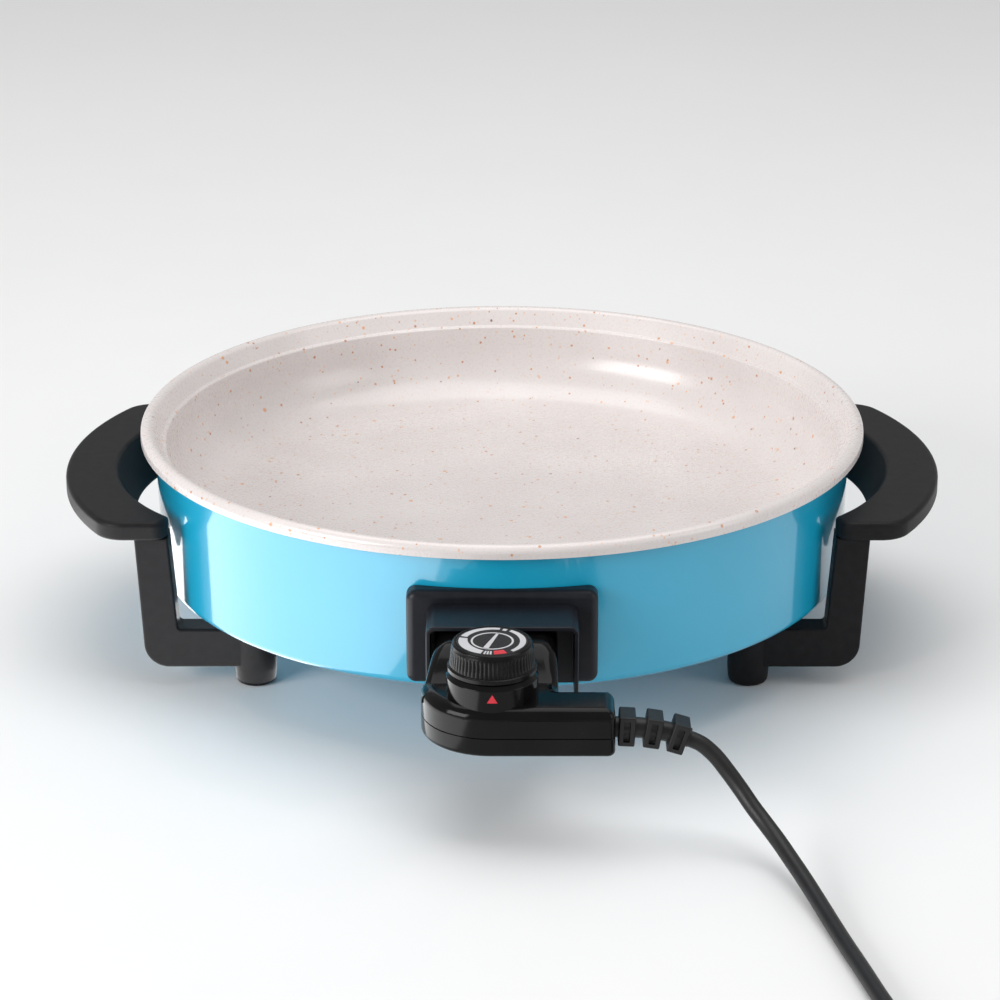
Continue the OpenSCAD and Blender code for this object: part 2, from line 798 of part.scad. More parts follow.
module plug_pins() {
    tip = plug_face - plug_pin_l + plug_pin_r;
    color("silver") for (s = [-1, 1]) translate([0, plug_y, plug_z + s * plug_pin_gap]) {
        x_cylinder(plug_pin_r, 0, 0, tip, plug_face);
        x_cylinder(plug_shank_r, 0, 0, plug_face - 1, plug_face + plug_shank_l);
        translate([tip, 0, 0]) sphere(r = plug_pin_r, $fn = 32);
    }
}

module plug_earth_clips() {
    blade = [11, 1, 6.6];
    inward = earth_slot_y - 1.2;
    color("silver") for (s = [-1, 1])
        translate([plug_face, plug_y + s * inward - blade[1] / 2, plug_z - blade[2] / 2]) cube(blade);
}

// The ribbed thermostat knob, hollow underneath around its hub
module knob_cap() {
    h = knob_h;
    band = 2.6;
    rib_h = 8;
    rib = 0.6;
    top_r = knob_r - 1.6;
    recess = 0.5;
    color("#1b1b1d") translate([knob_x, knob_y, knob_low]) difference() {
        union() {
            rotate_extrude() polygon([[0, 0], [knob_r, 0], [knob_r, band - 0.4],
                [top_r - 0.1, band], [top_r - 0.1, band + rib_h], [top_r - 1.3, h], [0, h]]);
            translate([0, 0, band - 0.2]) linear_extrude(rib_h + 0.2) polygon([
                for (i = [0:4 * knob_ribs - 1]) let (a = 90 * i / knob_ribs,
                    r = i % 4 < 2 ? top_r + rib : top_r) [r * cos(a), r * sin(a)]]);
        }
        translate([0, 0, h - recess]) cylinder(r = top_r - 2.6, h = 1);
        difference() {
            translate([0, 0, -1]) cylinder(r = top_r - 2.4, h = h - 3);
            cylinder(r = 5.5, h = h);
        }
        translate([0, 0, -1]) cylinder(r = shaft_r, h = h - 2);
    }
}

module dial_plate() {
    color("black") translate([knob_x, knob_y, knob_low + knob_h - 0.5])
        cylinder(r = knob_r - 4.3, h = 0.4);
}

module knob_shaft() {
    color("silver") translate([knob_x, knob_y, 0]) {
        translate([0, 0, 58.4]) cylinder(r = shaft_r, h = knob_low + knob_h - 3 - 58.4);
        translate([0, 0, 57.6]) cylinder(r = 1.5, h = 1);
    }
}

ceramic_lining();
cooking_pan();
outer_shell();
heat_reflector();
heating_element();
element_clamps();
terminal_insulators();
terminal_pins();
terminal_plate();
probe_sleeve();
earth_blade();
shell_bolt();
inlet_shroud();
shroud_screws();
handle_left();
handle_right();
handle_screws();
leg_front_left();
leg_front_right();
leg_rear_left();
leg_rear_right();
foot_screws();
controller_base();
controller_cover();
controller_screws();
socket_block();
socket_clips();
earth_clip();
sensor_probe();
thermostat_frame();
bimetal_strip();
contact_blades();
cord_clamp();
clamp_screws();
lead_wires();
pointer_mark();
strain_relief();
power_cord();
cord_coil();
cord_tail();
plug_body();
plug_pins();
plug_earth_clips();
knob_cap();
dial_plate();
knob_shaft();
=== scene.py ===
"""The looks of a round electric griddle pan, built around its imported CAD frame."""
import json
import math

import bmesh
import bpy
from mathutils import Matrix, Vector


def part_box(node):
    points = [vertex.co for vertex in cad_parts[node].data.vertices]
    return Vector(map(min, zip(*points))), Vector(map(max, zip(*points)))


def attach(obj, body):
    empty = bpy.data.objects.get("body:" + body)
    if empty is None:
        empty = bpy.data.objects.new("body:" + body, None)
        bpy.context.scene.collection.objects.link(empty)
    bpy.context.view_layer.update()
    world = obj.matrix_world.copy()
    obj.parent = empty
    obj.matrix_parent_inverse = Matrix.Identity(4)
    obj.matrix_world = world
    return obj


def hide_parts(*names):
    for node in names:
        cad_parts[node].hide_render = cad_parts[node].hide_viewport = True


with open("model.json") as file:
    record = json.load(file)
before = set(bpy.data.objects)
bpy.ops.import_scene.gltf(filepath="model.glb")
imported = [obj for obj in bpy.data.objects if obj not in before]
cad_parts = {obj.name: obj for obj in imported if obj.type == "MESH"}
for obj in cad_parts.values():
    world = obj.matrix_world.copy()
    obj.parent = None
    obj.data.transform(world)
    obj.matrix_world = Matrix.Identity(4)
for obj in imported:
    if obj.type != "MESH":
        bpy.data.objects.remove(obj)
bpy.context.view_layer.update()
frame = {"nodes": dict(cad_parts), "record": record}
MM = 0.001

# ---------------------------------------------------------------- places, from the frame
MOUNTS = {m["name"]: m["pos_m"] for m in frame["record"]["mounts"]}
lining_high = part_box("ceramic_lining")[1]
shell_low, shell_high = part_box("outer_shell")
handle_low, handle_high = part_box("handle_left")
leg_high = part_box("leg_front_left")[1]
shroud_low, shroud_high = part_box("inlet_shroud")
base_low, base_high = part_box("controller_base")
cover_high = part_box("controller_cover")[1]
knob_low, knob_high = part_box("knob_cap")
plug_low, plug_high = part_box("plug_body")

RIM_R, RIM_H = lining_high.x, lining_high.z
FLOOR_H = MOUNTS["cooking_surface"][2]
SHELL_TOP_R = RIM_R - 7 * MM
SHELL_LOW_R = RIM_R - 8.8 * MM
SHELL_H0, SHELL_H1 = shell_low.z, shell_high.z
SHELL_T = 0.9 * MM
TOUCH_R = SHELL_TOP_R + 0.1 * MM
COAT_T, PAN_T = 0.4 * MM, 1.6 * MM


# ---------------------------------------------------------------- camera and light
def look_camera():
    """The camera at the photograph's angle: nearly 21 degrees above the table, a long lens."""
    elevation, distance = math.radians(20.9), 1.8
    target = Vector((-1 * MM, 0, 65.2 * MM))
    data = bpy.data.cameras.new("camera")
    data.lens, data.sensor_width = 128.5, 36
    data.clip_end = 50
    camera = bpy.data.objects.new("camera", data)
    camera.location = target + distance * Vector((0, -math.cos(elevation), math.sin(elevation)))
    camera.rotation_euler = (math.pi / 2 - elevation, 0, 0)
    bpy.context.scene.collection.objects.link(camera)
    bpy.context.scene.camera = camera


def softbox(name, place, size, power, flat=False):
    """A light that faces the pan, or a flat one that only shows in the gloss of what it faces."""
    data = bpy.data.lights.new(name, "AREA")
    data.shape, data.size, data.size_y = "RECTANGLE", size[0], size[1]
    data.energy = power
    light = bpy.data.objects.new(name, data)
    light.location = place
    back = Vector((0, 0, -1)) if flat else Vector(place) - Vector((0, 0, 0.05))
    light.rotation_euler = back.to_track_quat("Z", "Y").to_euler()
    light.visible_camera = light.visible_diffuse = not flat
    bpy.context.scene.collection.objects.link(light)


def studio():
    """A pale table under an even sky, with soft lights at the left, above and at the right."""
    world = bpy.data.worlds.new("studio")
    world.use_nodes = True
    world.node_tree.nodes["Background"].inputs["Color"].default_value = (1, 1, 1, 1)
    world.node_tree.nodes["Background"].inputs["Strength"].default_value = 0.45
    bpy.context.scene.world = world
    softbox("key", (-1.7, -1.3, 0.8), (1.3, 1.0), 33)
    softbox("top", (0.1, 0.2, 1.9), (2.2, 1.4), 21)
    softbox("right", (1.9, -0.9, 0.9), (0.9, 1.2), 7)
    softbox("low_left", (-0.33, -0.16, 0.002), (0.46, 0.50), 2.1, flat=True)
    table = build("table", [(-9, -9, 0), (9, -9, 0), (9, 9, 0), (-9, 9, 0)], [(0, 1, 2, 3)])
    table.data.materials.append(noisy("table_white", (0.86, 0.86, 0.86), 0.55, 0.01, 0.05, 30))


# ---------------------------------------------------------------- mesh helpers
def build(name, points, faces):
    """A mesh object from its points and faces."""
    mesh = bpy.data.meshes.new(name)
    mesh.from_pydata([tuple(p) for p in points], [], faces)
    mesh.validate()
    mesh.update()
    o = bpy.data.objects.new(name, mesh)
    bpy.context.scene.collection.objects.link(o)
    return o


def tidy_mesh(o, sharp=40):
    """Outward normals, no doubled points, and smooth shading up to an edge angle in degrees."""
    b = bmesh.new()
    b.from_mesh(o.data)
    bmesh.ops.remove_doubles(b, verts=b.verts, dist=1e-6)
    bmesh.ops.dissolve_degenerate(b, edges=b.edges, dist=1e-6)
    bmesh.ops.recalc_face_normals(b, faces=b.faces)
    b.to_mesh(o.data)
    b.free()
    o.data.polygons.foreach_set("use_smooth", [True] * len(o.data.polygons))
    o.data.set_sharp_from_angle(angle=math.radians(sharp))
    return o


def weigh(o):
    """Flat faces keep flat shading next to their rounded edges."""
    weighted = o.modifiers.new("weighted", "WEIGHTED_NORMAL")
    weighted.keep_sharp = True


def loft(name, loops):
    """Skins closed loops that all have the same number of points, and caps both ends."""
    n = len(loops[0])
    points = [p for loop in loops for p in loop]
    faces = []
    for i in range(len(loops) - 1):
        for k in range(n):
            j = (k + 1) % n
            faces.append((i * n + k, i * n + j, (i + 1) * n + j, (i + 1) * n + k))
    faces.append(tuple(range(n - 1, -1, -1)))
    faces.append(tuple((len(loops) - 1) * n + k for k in range(n)))
    return tidy_mesh(build(name, points, faces))


def revolve(name, profile, place=(0, 0, 0), segments=256, axis="Z", ring=False):
    """Turns a profile of (radius, height) points about an axis. A ring's profile closes on itself."""
    x0, y0, z0 = place
    points, rows, faces = [], [], []
    for r, h in profile:
        count = segments if r > 1e-7 else 1
        row = []
        for k in range(count):
            a = 2 * math.pi * k / segments
            u, v = r * math.cos(a), r * math.sin(a)
            p = {"Z": (u, v, h), "X": (h, u, v), "Y": (u, h, v)}[axis]
            row.append(len(points))
            points.append((p[0] + x0, p[1] + y0, p[2] + z0))
        rows.append(row)
    pairs = list(zip(rows, rows[1:])) + ([(rows[-1], rows[0])] if ring else [])
    for low, high in pairs:
        for k in range(segments):
            j = (k + 1) % segments
            face = [low[k % len(low)], low[j % len(low)], high[j % len(high)], high[k % len(high)]]
            face = list(dict.fromkeys(face))
            if len(face) > 2:
                faces.append(face)
    return tidy_mesh(build(name, points, faces))


def arc(cx, cy, r, a0, a1, n):
    """Points along an arc, with angles in degrees."""
    turns = [math.radians(a0 + (a1 - a0) * i / n) for i in range(n + 1)]
    return [(cx + r * math.cos(t), cy + r * math.sin(t)) for t in turns]


def rounded(corners, steps, closed=True):
    """An outline through (x, y, radius) corners, each one replaced by an arc of its radius."""
    out, n = [], len(corners)
    for i, (x, y, r) in enumerate(corners):
        p = Vector((x, y))
        if r == 0 or (not closed and i in (0, n - 1)):
            out.append((x, y))
            continue
        before = Vector(corners[i - 1][:2]) - p
        after = Vector(corners[(i + 1) % n][:2]) - p
        half = before.angle(after) / 2
        cut = r / math.tan(half)
        centre = p + (before.normalized() + after.normalized()).normalized() * r / math.sin(half)
        start, end = p + before.normalized() * cut - centre, p + after.normalized() * cut - centre
        turn = start.angle_signed(end)
        for k in range(steps + 1):
            out.append(tuple(centre + Matrix.Rotation(-turn * k / steps, 2) @ start))
    return out


def inset(corners, d):
    """The (x, y, radius) corners of an anticlockwise outline, moved inwards by d."""
    out, n = [], len(corners)
    for i, (x, y, r) in enumerate(corners):
        p, a, b = Vector((x, y)), Vector(corners[i - 1][:2]), Vector(corners[(i + 1) % n][:2])
        u, v = (p - a).normalized(), (b - p).normalized()
        nu, nv = Vector((-u.y, u.x)), Vector((-v.y, v.x))
        moved = p + (nu + nv) / max(0.35, 1 + nu.dot(nv)) * d
        if r:
            r = max(0.02 * MM, r - d if u.cross(v) > 0 else r + d)
        out.append((moved.x, moved.y, r))
    return out


def anticlockwise(corners):
    """The same corners in anticlockwise order, each with a radius."""
    flat, n = [tuple(c) + (0,) * (3 - len(c)) for c in corners], len(corners)
    area = sum(flat[i - 1][0] * flat[i][1] - flat[i][0] * flat[i - 1][1] for i in range(n))
    return flat if area > 0 else flat[::-1]


def quarter(r, steps):
    """The (height, inset) pairs of a rounded rim, from its flat end to its wall."""
    turns = [math.pi / 2 * k / steps for k in range(steps + 1)] if r else [0]
    return [(r * (1 - math.cos(t)), r * (1 - math.sin(t))) for t in turns]


def prism(name, corners, low, high, round_low=0.0, round_high=0.0, axis="Z", steps=6, turn=6):
    """An outline stretched along an axis from low to high, with both rims rounded."""
    corners = anticlockwise(corners)
    levels = [(low + h, d) for h, d in quarter(round_low, steps)]
    levels += [(high - h, d) for h, d in reversed(quarter(round_high, steps))]
    loops = []
    for h, d in levels:
        flat = rounded(inset(corners, d), steps=turn)
        loops.append([{"Z": (u, v, h), "X": (h, u, v), "Y": (u, h, v)}[axis] for u, v in flat])
    return loft(name, loops)


def settle(o):
    """Applies every modifier of a piece to its mesh."""
    shape = bpy.data.meshes.new_from_object(o.evaluated_get(bpy.context.evaluated_depsgraph_get()))
    o.modifiers.clear()
    o.data = shape
    return o


def combine(o, others, how):
    """A boolean of one piece with others, which are used up. how is UNION or DIFFERENCE."""
    for other in others:
        cut = o.modifiers.new("cut", "BOOLEAN")
        cut.operation, cut.object, cut.solver = how, other, "EXACT"
        settle(o)
        bpy.data.objects.remove(other)
    return tidy_mesh(o, 35)


def block(name, low, high, r):
    """A box with rounded edges all round."""
    corners = [(low[0], low[1], r), (high[0], low[1], r), (high[0], high[1], r), (low[0], high[1], r)]
    return prism(name, corners, low[2], high[2], r, r, steps=3, turn=3)


def finish_piece(o, body, look, nodes=()):
    """Dresses a piece, weighs its normals and ties it to the frame."""
    o.data.materials.clear()
    o.data.materials.append(look)
    if o.type == "MESH":
        weigh(o)
    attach(o, body)
    if nodes:
        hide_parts(*nodes)
    return o


# ---------------------------------------------------------------- materials
def start_material(name):
    """A new node material, with its tree and its shader."""
    m = bpy.data.materials.new(name)
    m.use_nodes = True
    tree = m.node_tree
    return m, tree, tree.nodes["Principled BSDF"]


def add(tree, kind, settings=None, **inputs):
    """A node with its properties and inputs set. An input that is a socket is linked."""
    node = tree.nodes.new(kind)
    for key, value in (settings or {}).items():
        setattr(node, key, value)
    for key, value in inputs.items():
        socket = node.inputs[key.replace("_", " ")] if isinstance(key, str) else node.inputs[key]
        if isinstance(value, bpy.types.NodeSocket):
            tree.links.new(value, socket)
        else:
            socket.default_value = value
    return node


def ramp(tree, source, stops):
    """A colour ramp through (position, colour) stops. A colour may be one grey number."""
    node = tree.nodes.new("ShaderNodeValToRGB")
    tree.links.new(source, node.inputs["Fac"])
    while len(node.color_ramp.elements) < len(stops):
        node.color_ramp.elements.new(0.5)
    for element, (at, colour) in zip(node.color_ramp.elements, stops):
        element.position = at
        colour = (colour,) * 3 if isinstance(colour, (int, float)) else colour
        element.color = (*colour, 1)
    return node.outputs["Color"]


def object_space(tree, stretch=(1, 1, 1)):
    """The piece's own coordinates, scaled along each axis."""
    place = tree.nodes.new("ShaderNodeTexCoord")
    scale = tree.nodes.new("ShaderNodeMapping")
    scale.inputs["Scale"].default_value = stretch
    tree.links.new(place.outputs["Object"], scale.inputs["Vector"])
    return scale.outputs["Vector"]


def noise(tree, vector, scale, detail):
    return add(tree, "ShaderNodeTexNoise", Vector=vector, Scale=scale, Detail=detail).outputs["Fac"]


def noisy(name, colour, rough, vary, rough_vary, grain, bump=0.0, depth=0.0002,
          metallic=0.0, coat=0.0, coat_rough=0.05, specular=0.5, stretch=(1, 1, 1)):
    """A material whose colour, roughness and height all vary a little over the surface."""
    m, tree, shader = start_material(name)
    place = object_space(tree, stretch)
    broad, fine = noise(tree, place, grain / 12, 3), noise(tree, place, grain, 5)
    dark = [c * (1 - vary) for c in colour]
    light = [min(1, c * (1 + vary) + 0.002 * (vary > 0.03)) for c in colour]
    tree.links.new(ramp(tree, broad, [(0.3, dark), (0.7, light)]), shader.inputs["Base Color"])
    tree.links.new(ramp(tree, fine, [(0.25, max(0, rough - rough_vary)), (0.75, rough + rough_vary)]),
                   shader.inputs["Roughness"])
    if bump:
        bumps = add(tree, "ShaderNodeBump", Strength=bump, Distance=depth, Height=fine)
        tree.links.new(bumps.outputs["Normal"], shader.inputs["Normal"])
    shader.inputs["Metallic"].default_value = metallic
    shader.inputs["Coat Weight"].default_value = coat
    shader.inputs["Coat Roughness"].default_value = coat_rough
    shader.inputs["Specular IOR Level"].default_value = specular
    return m


def specks(tree, place, scale, share, size, seed):
    """A mask of small round specks: one in share of the cells holds one, each of its own size."""
    cells = add(tree, "ShaderNodeTexVoronoi", {"feature": "F1"},
                Vector=place, Scale=scale, Randomness=1.0)
    wobble = noise(tree, place, scale * 2.5, 2)
    pick = add(tree, "ShaderNodeTexWhiteNoise", {"noise_dimensions": "4D"},
               Vector=cells.outputs["Position"], W=seed)
    near = add(tree, "ShaderNodeMath", {"operation": "MULTIPLY_ADD"})
    tree.links.new(wobble, near.inputs[0])
    near.inputs[1].default_value = 0.16
    tree.links.new(cells.outputs["Distance"], near.inputs[2])
    grow = add(tree, "ShaderNodeMath", {"operation": "MULTIPLY_ADD"})
    tree.links.new(pick.outputs["Value"], grow.inputs[0])
    grow.inputs[1].default_value = -size / share
    grow.inputs[2].default_value = size
    inside = add(tree, "ShaderNodeMath", {"operation": "SUBTRACT"})
    tree.links.new(grow.outputs[0], inside.inputs[0])
    tree.links.new(near.outputs[0], inside.inputs[1])
    soft = add(tree, "ShaderNodeMath", {"operation": "MULTIPLY_ADD", "use_clamp": True})
    tree.links.new(inside.outputs[0], soft.inputs[0])
    soft.inputs[1].default_value = 14.0
    soft.inputs[2].default_value = 1.1
    return soft.outputs[0], pick.outputs["Color"]


def mix(tree, fac, a, b):
    """Two colours mixed by a factor. Each one may be a value or a socket."""
    node = tree.nodes.new("ShaderNodeMix")
    node.data_type = "RGBA"
    for socket, value in ((node.inputs[0], fac), (node.inputs[6], a), (node.inputs[7], b)):
        if isinstance(value, bpy.types.NodeSocket):
            tree.links.new(value, socket)
        else:
            socket.default_value = value if isinstance(value, float) else (*value, 1)
    return node.outputs[2]


def stone_ceramic():
    """Warm white ceramic with fine specks from pale orange to brown."""
    m, tree, shader = start_material("stone_ceramic")
    place = object_space(tree)
    broad = noise(tree, place, 22, 3)
    colour = ramp(tree, broad, [(0.3, (0.660, 0.608, 0.592)), (0.7, (0.705, 0.657, 0.642))])
    tints = [((0.70, 0.36, 0.20), (0.68, 0.46, 0.34)), ((0.50, 0.22, 0.12), (0.62, 0.33, 0.18)),
             ((0.72, 0.52, 0.42), (0.68, 0.44, 0.30)), ((0.26, 0.15, 0.11), (0.40, 0.26, 0.19))]
    layers = [(240, 0.14, 0.30, 1.0), (360, 0.16, 0.34, 2.0),
              (560, 0.20, 0.40, 3.0), (300, 0.03, 0.28, 4.0)]
    for (scale, share, size, seed), (one, other) in zip(layers, tints):
        mask, pick = specks(tree, place, scale, share, size, seed)
        tint = ramp(tree, pick, [(0.2, one), (0.8, other)])
        colour = mix(tree, mask, colour, tint)
    tree.links.new(colour, shader.inputs["Base Color"])
    fine = noise(tree, place, 700, 4)
    tree.links.new(ramp(tree, fine, [(0.3, 0.24), (0.7, 0.34)]), shader.inputs["Roughness"])
    height = noise(tree, place, 260, 3)
    bumps = add(tree, "ShaderNodeBump", Strength=0.12, Distance=0.0003, Height=height)
    tree.links.new(bumps.outputs["Normal"], shader.inputs["Normal"])
    shader.inputs["Coat Weight"].default_value = 0.35
    shader.inputs["Coat Roughness"].default_value = 0.16
    return m


def make_looks():
    """Every material, by its slot or by the piece that has it to itself."""
    black = (0.0085, 0.0083, 0.0090)
    return {
        "ceramic_coat": stone_ceramic(),
        "shell_paint": noisy("blue_enamel", (0.006, 0.385, 0.610), 0.34, 0.02, 0.04, 420, 0.02,
                             coat=1.0, coat_rough=0.07, specular=0.5),
        "bakelite": noisy("satin_bakelite", (0.0105, 0.0100, 0.0110), 0.44, 0.10, 0.06, 2600,
                          0.12, 0.0001, specular=0.14),
        "shroud": noisy("shroud_bakelite", (0.0100, 0.0108, 0.0150), 0.36, 0.08, 0.05, 2400,
                        0.08, 0.0001, specular=0.24),
        "controller_gloss": noisy("gloss_black", (0.0025, 0.0024, 0.0026), 0.13, 0.1, 0.04, 700,
                                  0.03, 0.0001, specular=0.16),
        "knob_plastic": noisy("knob_black", (0.0035, 0.0035, 0.0038), 0.24, 0.1, 0.05, 2200, 0.06, 0.0001,
                              specular=0.16),
        "cord_rubber": noisy("cord_pvc", black, 0.42, 0.1, 0.08, 1500, 0.10, 0.0001, specular=0.35),
        "plug_plastic": noisy("plug_pvc", black, 0.46, 0.1, 0.06, 1800, 0.10, 0.0001, specular=0.35),
        "inner_bakelite": noisy("inner_bakelite", (0.020, 0.018, 0.016), 0.5, 0.12, 0.06, 1600,
                                0.1, 0.0001, specular=0.3),
        "pan_aluminium": noisy("pressed_aluminium", (0.70, 0.70, 0.71), 0.34, 0.03, 0.07, 500, 0.03,
                               metallic=1.0, stretch=(1, 1, 6)),
        "element_sheath": noisy("element_steel", (0.33, 0.32, 0.31), 0.38, 0.12, 0.08, 700, 0.05,
                                metallic=1.0),
        "zinc_steel": noisy("zinc_steel", (0.62, 0.63, 0.66), 0.30, 0.05, 0.07, 900, 0.04,
                            metallic=1.0),
        "terminal_nickel": noisy("nickel", (0.66, 0.64, 0.60), 0.20, 0.04, 0.05, 900, 0.03,
                                 metallic=1.0),
        "insulator_ceramic": noisy("white_steatite", (0.78, 0.77, 0.73), 0.3, 0.03, 0.05, 500, 0.05),
        "contact_brass": noisy("sprung_brass", (0.62, 0.45, 0.20), 0.28, 0.06, 0.06, 900, 0.03,
                               metallic=1.0),
        "wire_sheath": noisy("wire_sheath", (0.03, 0.03, 0.03), 0.5, 0.1, 0.06, 900, 0.05),
        "pointer_red": noisy("red_print", (0.62, 0.018, 0.035), 0.35, 0.05, 0.05, 1500, 0.03, 0.0001),
        "dial_print": noisy("dial_black", (0.006, 0.006, 0.0065), 0.30, 0.08, 0.05, 1500, 0.03, 0.0001,
                            specular=0.24),
        "dial_white": noisy("dial_white", (0.55, 0.55, 0.57), 0.42, 0.04, 0.05, 1500, 0.03, 0.0001),
    }


# ---------------------------------------------------------------- the mains lead
# The route of part.scad, in metres, then the coil's turns and the tail to the plug.
ROUTE = [(.082, -.248, .0475), (.088, -.249, .045), (.094, -.251, .0402), (.0995, -.254, .034),
         (.105, -.2585, .0276), (.110, -.2645, .022), (.1155, -.272, .017), (.1205, -.281, .0132),
         (.125, -.292, .0102), (.1295, -.305, .0078), (.134, -.320, .0056), (.1385, -.338, .0042),
         (.143, -.358, .0037), (.148, -.380, .0037), (.153, -.403, .0037), (.159, -.428, .0037),
         (.165, -.454, .0037), (.171, -.479, .0037)]
TAIL = [(.128, -.5347, .0111), (.114, -.535, .0116), (.100, -.535, .0134), (.086, -.535, .016),
        (.074, -.535, .018), (.062, -.535, .019), (.050, -.535, .019)]
CORD_D = 0.0074
COIL_X, COIL_Y, COIL_R = 0.128, -0.490, 0.041


def spline(points, fine=6):
    """A smooth line through given points."""
    out, n = [], len(points)
    for i in range(n - 1):
        a, b, c, d = [Vector(points[min(max(k, 0), n - 1)]) for k in (i - 1, i, i + 1, i + 2)]
        for k in range(fine):
            u = k / fine
            out.append(0.5 * (2 * b + (c - a) * u + (2 * a - 5 * b + 4 * c - d) * u * u
                              + (3 * b - a - 3 * c + d) * u ** 3))
    return out + [Vector(points[-1])]


def ease(t):
    """A smooth step from 0 to 1."""
    t = min(1.0, max(0.0, t))
    return t * t * (3 - 2 * t)


def coil_line():
    """Three turns and a bit: outside and inside on the table, then inside and outside on top."""
    start = Vector(ROUTE[-1]) - Vector((COIL_X, COIL_Y, ROUTE[-1][2]))
    first = math.degrees(math.atan2(start.y, start.x))
    last = -90 - 3 * 360
    step, swap = 8, 70
    r_out, r_in = start.length, COIL_R - CORD_D / 2
    out, count = [], round((first - last) / step)
    for i in range(1, count):
        gone = (first - last) * i / count
        inward = ease((gone - 360 + swap) / swap) - ease((gone - 3 * 360 + swap) / swap)
        lifted = ease((gone - 2 * 360 + swap) / swap)
        radius = r_out + (r_in - r_out) * inward
        a = math.radians(first - gone)
        out.append(Vector((COIL_X + radius * math.cos(a), COIL_Y + radius * math.sin(a),
                           CORD_D / 2 + CORD_D * lifted)))
    return out


def mains_lead(looks, plug):
    """The whole lead as one round curve, from the bend relief to the plug."""
    line = spline(ROUTE) + coil_line() + spline(TAIL)
    data = bpy.data.curves.new("mains_lead", "CURVE")
    data.dimensions = "3D"
    data.bevel_depth, data.bevel_resolution = CORD_D / 2, 5
    data.use_fill_caps = True
    thread = data.splines.new("POLY")
    thread.points.add(len(line) - 1)
    for point, place in zip(thread.points, line):
        point.co = (*place, 1)
    thread.use_smooth = True
    lead = bpy.data.objects.new("mains_lead", data)
    bpy.context.scene.collection.objects.link(lead)
    finish_piece(lead, "controller", looks["cord_rubber"],
                 ("power_cord", "cord_coil", "cord_tail"))
    return lead


def plug_shape(looks):
    """A moulded earthed plug on its side, with ridges round its neck and clip slots in its rim."""
    centre_y, centre_z = (plug_low.y + plug_high.y) / 2, (plug_low.z + plug_high.z) / 2
    r = (plug_high.z - plug_low.z) / 2
    neck_end = (plug_high.x, centre_y, centre_z)
    rim, floor = -48 * MM, -47 * MM
    profile = rounded([(0, 0, 0), (5 * MM, 0, 1 * MM), (6.5 * MM, -15 * MM, 6 * MM),
                       (12 * MM, -20 * MM, 4 * MM), (14 * MM, -28 * MM, 3 * MM),
                       (r, -33 * MM, 2.5 * MM), (r, rim, 1.2 * MM), (r - 2.2 * MM, rim, 0.3 * MM),
                       (r - 2.6 * MM, floor, 0.3 * MM), (0, floor, 0)], closed=False, steps=5)
    body = revolve("plug_moulding", profile, neck_end, 96, "X")
    ridges, ridge_r = [], 8 * MM
    for i, (crest, h) in enumerate(((11.0 * MM, -13 * MM), (12.2 * MM, -16.6 * MM),
                                    (13.4 * MM, -20.2 * MM))):
        ridge = [(ridge_r, h - 0.9 * MM), (crest, h - 0.6 * MM),
                 (crest, h + 0.6 * MM), (ridge_r, h + 0.9 * MM)]
        ridges.append(revolve(f"ridge_{i}", ridge, neck_end, 96, "X", ring=True))
    combine(body, ridges, "UNION")
    face = plug_low.x
    slots, slot_out, slot_half, slot_half_h = [], 17.4 * MM, 2 * MM, 3.5 * MM
    for s in (-1, 1):
        slot_y = centre_y + s * slot_out
        slots.append(block(f"slot_{s}", (face - 2 * MM, slot_y - slot_half, centre_z - slot_half_h),
                           (face + 11 * MM, slot_y + slot_half, centre_z + slot_half_h), 0.4 * MM))
    combine(body, slots, "DIFFERENCE")
    return finish_piece(body, "controller", looks["plug_plastic"], ("plug_body",))


# ---------------------------------------------------------------- the pan
def bowl_line(t):
    """The cooking surface from the middle of its floor to the edge of the lip, moved outwards by t."""
    bend = 27.5 * MM
    wall = RIM_R - 12.5 * MM
    ledge_h, ledge_x = RIM_H - 9 * MM, RIM_R - 10.7 * MM
    roll = 3.6 * MM
    cx, cz = RIM_R - roll, RIM_H - roll
    to_roll = Vector((cx - ledge_x, cz - ledge_h))
    lean = math.degrees(math.atan2(to_roll.y, to_roll.x) + math.asin(roll / to_roll.length))
    ledge_out = ledge_x + t * math.tan(math.radians(lean / 2))
    ledge = [(wall + t, ledge_h - 8 * MM, 0), (wall + t, ledge_h - t, 0.9 * MM + t * 0.5),
             (ledge_out, ledge_h - t, max(0.2 * MM, 1.4 * MM - t * 0.6))]
    after = arc(cx, cz, roll - t, lean + 90, 0, 20)
    corners = ledge + [(*after[0], 0)]
    lip = RIM_H - 6.2 * MM
    return ([(0, FLOOR_H - t)] + [(k * (wall - bend) / 12, FLOOR_H - t) for k in range(1, 12)]
            + arc(wall - bend, FLOOR_H + bend, bend + t, -90, 0, 28)
            + rounded(corners, closed=False, steps=5)[1:-1] + after + [(RIM_R - t, lip)])


def pan(looks):
    """The ceramic coat and the pressed metal under it share one surface."""
    surface, back, under = bowl_line(0), bowl_line(COAT_T), bowl_line(PAN_T)
    coat = revolve("ceramic_coat", surface + back[::-1])
    finish_piece(coat, "pan", looks["ceramic_coat"], ("ceramic_lining",))
    metal = revolve("pan_metal", back + under[::-1])
    finish_piece(metal, "pan", looks["pan_aluminium"], ("cooking_pan",))


def inlet_window(name):
    """The cutter for the window behind the inlet, in the shell and in the shroud's back."""
    left, right, low, high = -26.4 * MM, 21.6 * MM, 46 * MM, 72 * MM
    corners = [(left, low, 2 * MM), (right, low, 2 * MM), (right, high, 2 * MM), (left, high, 2 * MM)]
    return prism(name, corners, -0.180, -0.150, axis="Y")


